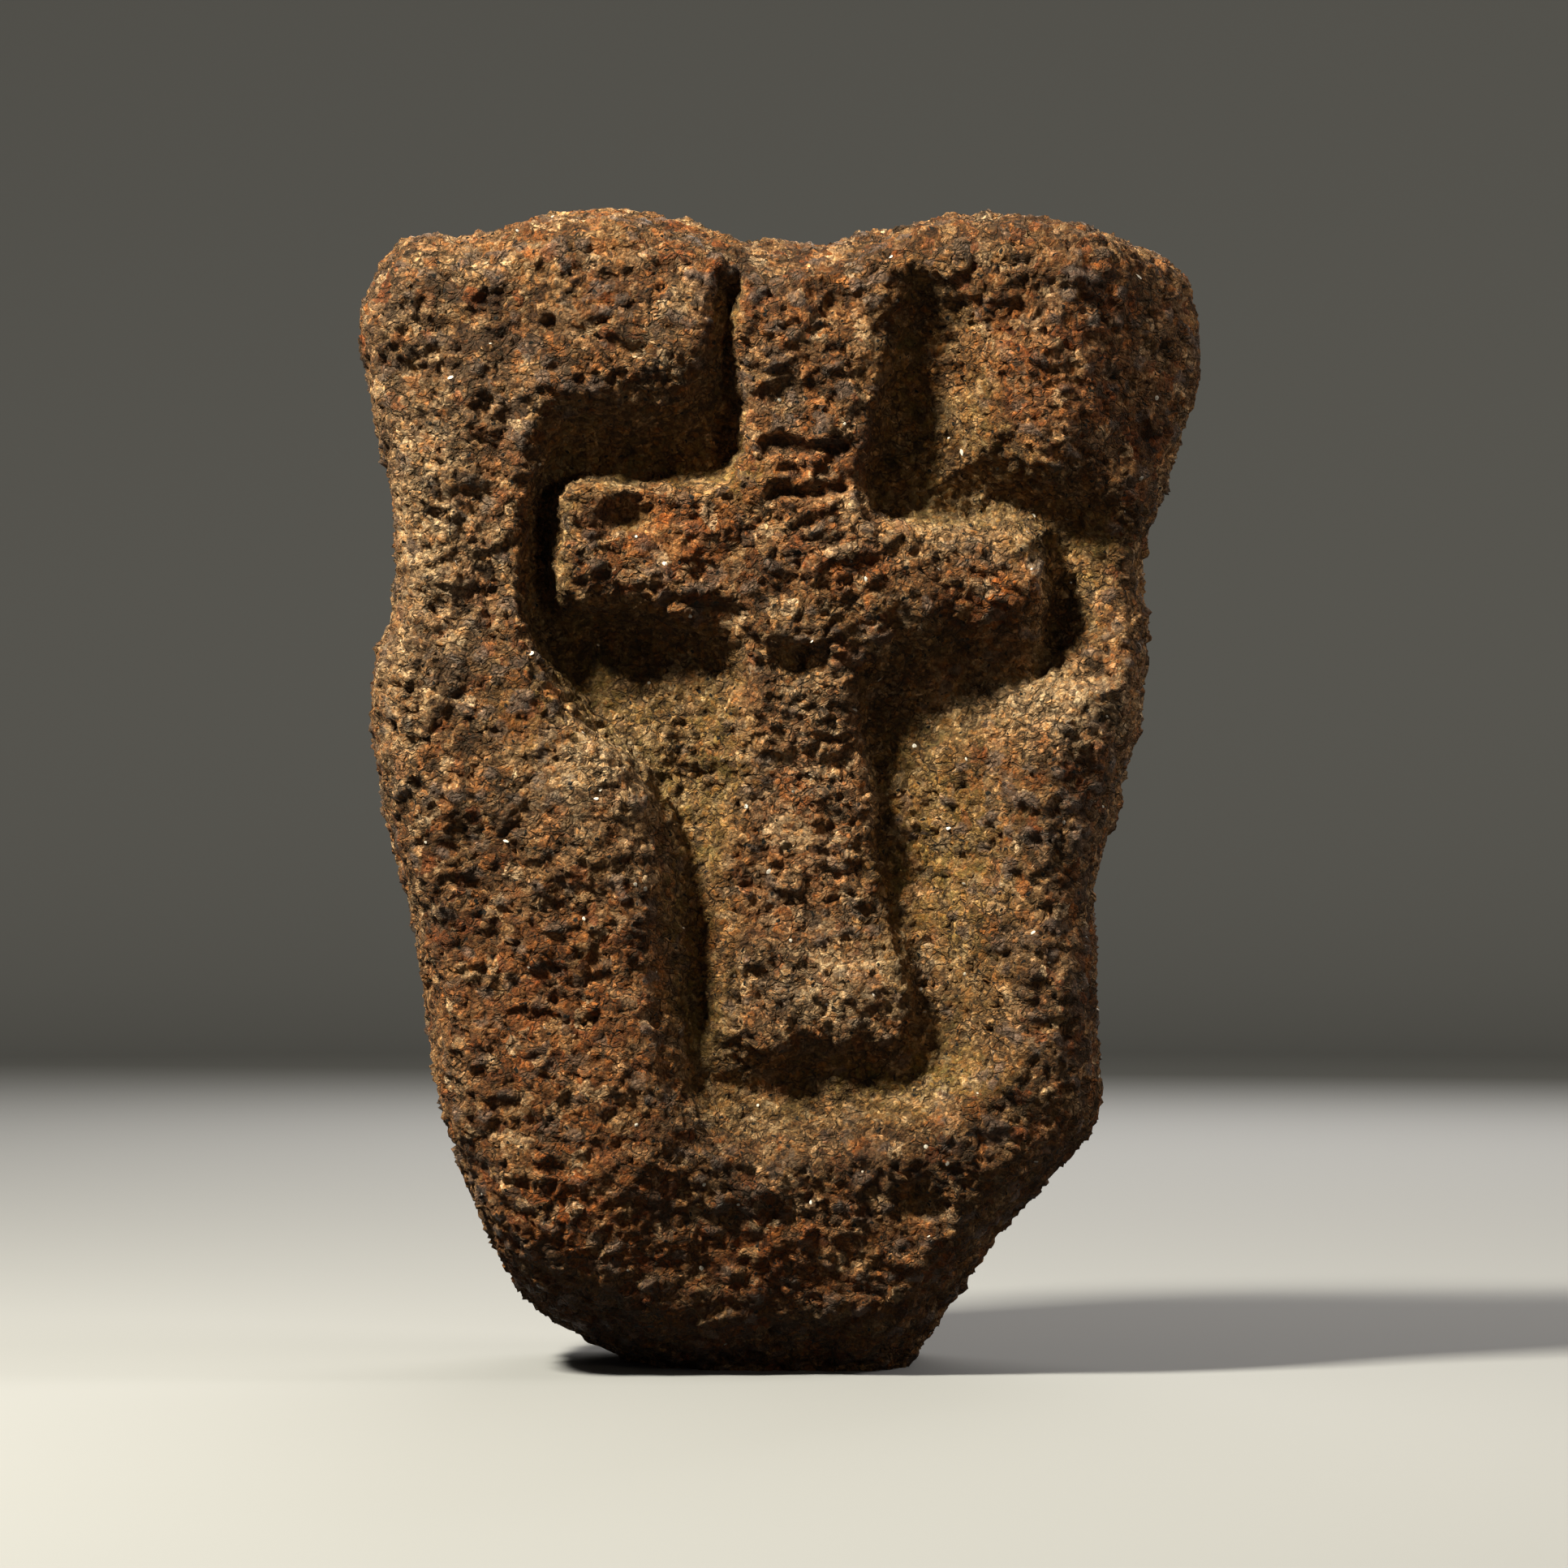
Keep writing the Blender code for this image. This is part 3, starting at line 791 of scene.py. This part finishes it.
def makeFlakes(mesh, masks):
    rng = np.random.default_rng(flakes["seed"])
    wobbleSize, wobbleBy = flakes["wobble"]
    shape = bmesh.new()
    for spot, slope in zip(*seats(mesh, masks, rng)):
        radius = rng.uniform(*flakes["radius"])
        flat = rng.uniform(*flakes["flatness"])
        tilt = Vector(slope) + Vector(rng.normal(size=3)) * flakes["tilt"]
        turn = tilt.to_track_quat("Z", "Y").to_matrix().to_4x4()
        turn = turn @ Matrix.Rotation(rng.uniform(0, math.tau), 4, "Z")
        seat = Matrix.Translation(Vector(spot) + Vector(slope) * radius * flat * flakes["proud"])
        size = Matrix.Diagonal((radius * rng.uniform(*flakes["stretch"]), radius, radius * flat, 1))
        flake = bmesh.ops.create_icosphere(shape, subdivisions=1, radius=1, matrix=seat @ turn @ size)
        for vert in flake["verts"]:
            vert.co += noise.noise_vector(vert.co / wobbleSize) * radius * wobbleBy
    made = bpy.data.meshes.new("mica_flakes")
    shape.to_mesh(made)
    shape.free()
    made.vertices.foreach_set("co", insideBox(arrayOf(made, "co")).ravel())
    made.update()
    material, tree, shader = newMaterial("pale mica with painted glint")
    place = tree.nodes.new("ShaderNodeTexCoord").outputs["Object"]
    scale, share = flakes["grain"]
    fine = granulesAt(tree, granules, place, scale)
    colour = mixColour(tree, share, flakes["colour"], fine["Tint"], "MULTIPLY")
    link(tree, colour, shader.inputs["Base Color"])
    shader.inputs["Roughness"].default_value = flakes["roughness"]
    made.materials.append(material)
    piece = bpy.data.objects.new("mica_flakes", made)
    scene.collection.objects.link(piece)
    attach(piece, "root")
    print("mica flakes:", len(made.polygons), "triangles")


makeFlakes(stoneMesh, stoneMasks)


# Floor and backdrop, one round sheet that curves up on every side

backdrop = {
    "floorRadius": 3.4,
    "bend": 0.9,
    "wallHeight": 3.6,
    "bendSteps": 8,
    "turnSteps": 96,
    "roughness": 0.95,
    "colour": (0.33, 0.345, 0.38),
}


def makeBackdrop():
    shape = bmesh.new()
    radius, bend = backdrop["floorRadius"], backdrop["bend"]
    profile = [(0.0, 0.0), (radius, 0.0)]
    for step in range(1, backdrop["bendSteps"] + 1):
        turn = step * math.pi / (2 * backdrop["bendSteps"])
        profile.append((radius + math.sin(turn) * bend, (1 - math.cos(turn)) * bend))
    profile.append((radius + bend, backdrop["wallHeight"]))
    verts = [shape.verts.new((x, 0, z)) for x, z in profile]
    edges = [shape.edges.new(pair) for pair in zip(verts, verts[1:])]
    bmesh.ops.spin(shape, geom=verts + edges, axis=(0, 0, 1), cent=(0, 0, 0), angle=math.tau,
                   steps=backdrop["turnSteps"], use_merge=True)
    bmesh.ops.remove_doubles(shape, verts=shape.verts, dist=1e-5)
    bmesh.ops.recalc_face_normals(shape, faces=shape.faces)
    bmesh.ops.reverse_faces(shape, faces=shape.faces)
    mesh = bpy.data.meshes.new("backdrop")
    shape.to_mesh(mesh)
    shape.free()
    mesh.shade_smooth()
    material, tree, shader = newMaterial("pale paper")
    shader.inputs["Base Color"].default_value = (*backdrop["colour"], 1)
    shader.inputs["Roughness"].default_value = backdrop["roughness"]
    mesh.materials.append(material)
    made = bpy.data.objects.new("backdrop", mesh)
    made.visible_diffuse = False             # the paper throws no light back into the hollows
    scene.collection.objects.link(made)


makeBackdrop()
print("backdrop made")


# Camera and lights

camera = {
    "lens": 150.0,
    "sensor": 36.0,
    "pixelsPerMetre": 2740.0,  # at the stone's widest section
    "frame": 1932.0,
    "middle": (0.0016, 0.0, 0.2604),
}

lights = {
    "key": {"from": (-1.10, -0.86, 1.62), "away": 2.0, "size": 0.36, "power": 101.0,
            "colour": (1.0, 0.92, 0.71)},
    "fill": {"from": (1.4, -0.12, 1.1), "away": 2.2, "size": 0.5, "power": 14.0,
             "colour": (1.0, 0.92, 0.80)},
    "front": {"from": (0.9, -1.3, 0.15), "away": 2.2, "size": 0.35, "power": 3.0,
              "colour": (1.0, 0.86, 0.62)},
    "back": {"from": (0.3, 1.5, 0.9), "away": 2.4, "size": 1.6, "power": 34.0,
             "colour": (1.0, 0.93, 0.82)},
}

lampsAim = (0, 0, 0.26)
room = {"colour": (1.0, 0.95, 0.88), "strength": 0.006}


def makeCamera():
    data = bpy.data.cameras.new("camera")
    data.lens = camera["lens"]
    data.sensor_width = camera["sensor"]
    away = camera["frame"] / camera["pixelsPerMetre"] * camera["lens"] / camera["sensor"]
    made = bpy.data.objects.new("camera", data)
    made.location = Vector(camera["middle"]) + Vector((0, -away, 0))
    made.rotation_euler = (math.pi / 2, 0, 0)
    scene.collection.objects.link(made)
    scene.camera = made


def makeLights():
    middle = Vector(lampsAim)
    for name, look in lights.items():
        data = bpy.data.lights.new(name, "AREA")
        data.size = look["size"]
        data.energy = look["power"]
        data.color = look["colour"]
        made = bpy.data.objects.new(name, data)
        toLight = Vector(look["from"]).normalized()
        made.location = middle + toLight * look["away"]
        made.rotation_euler = toLight.to_track_quat("Z", "Y").to_euler()
        made.visible_camera = False
        scene.collection.objects.link(made)
    world = bpy.data.worlds.new("studio")
    world.use_nodes = True
    background = world.node_tree.nodes["Background"]
    background.inputs[0].default_value = (*room["colour"], 1)
    background.inputs[1].default_value = room["strength"]
    scene.world = world
    scene.view_settings.view_transform = "Standard"


makeCamera()
makeLights()
print("camera and lights set")
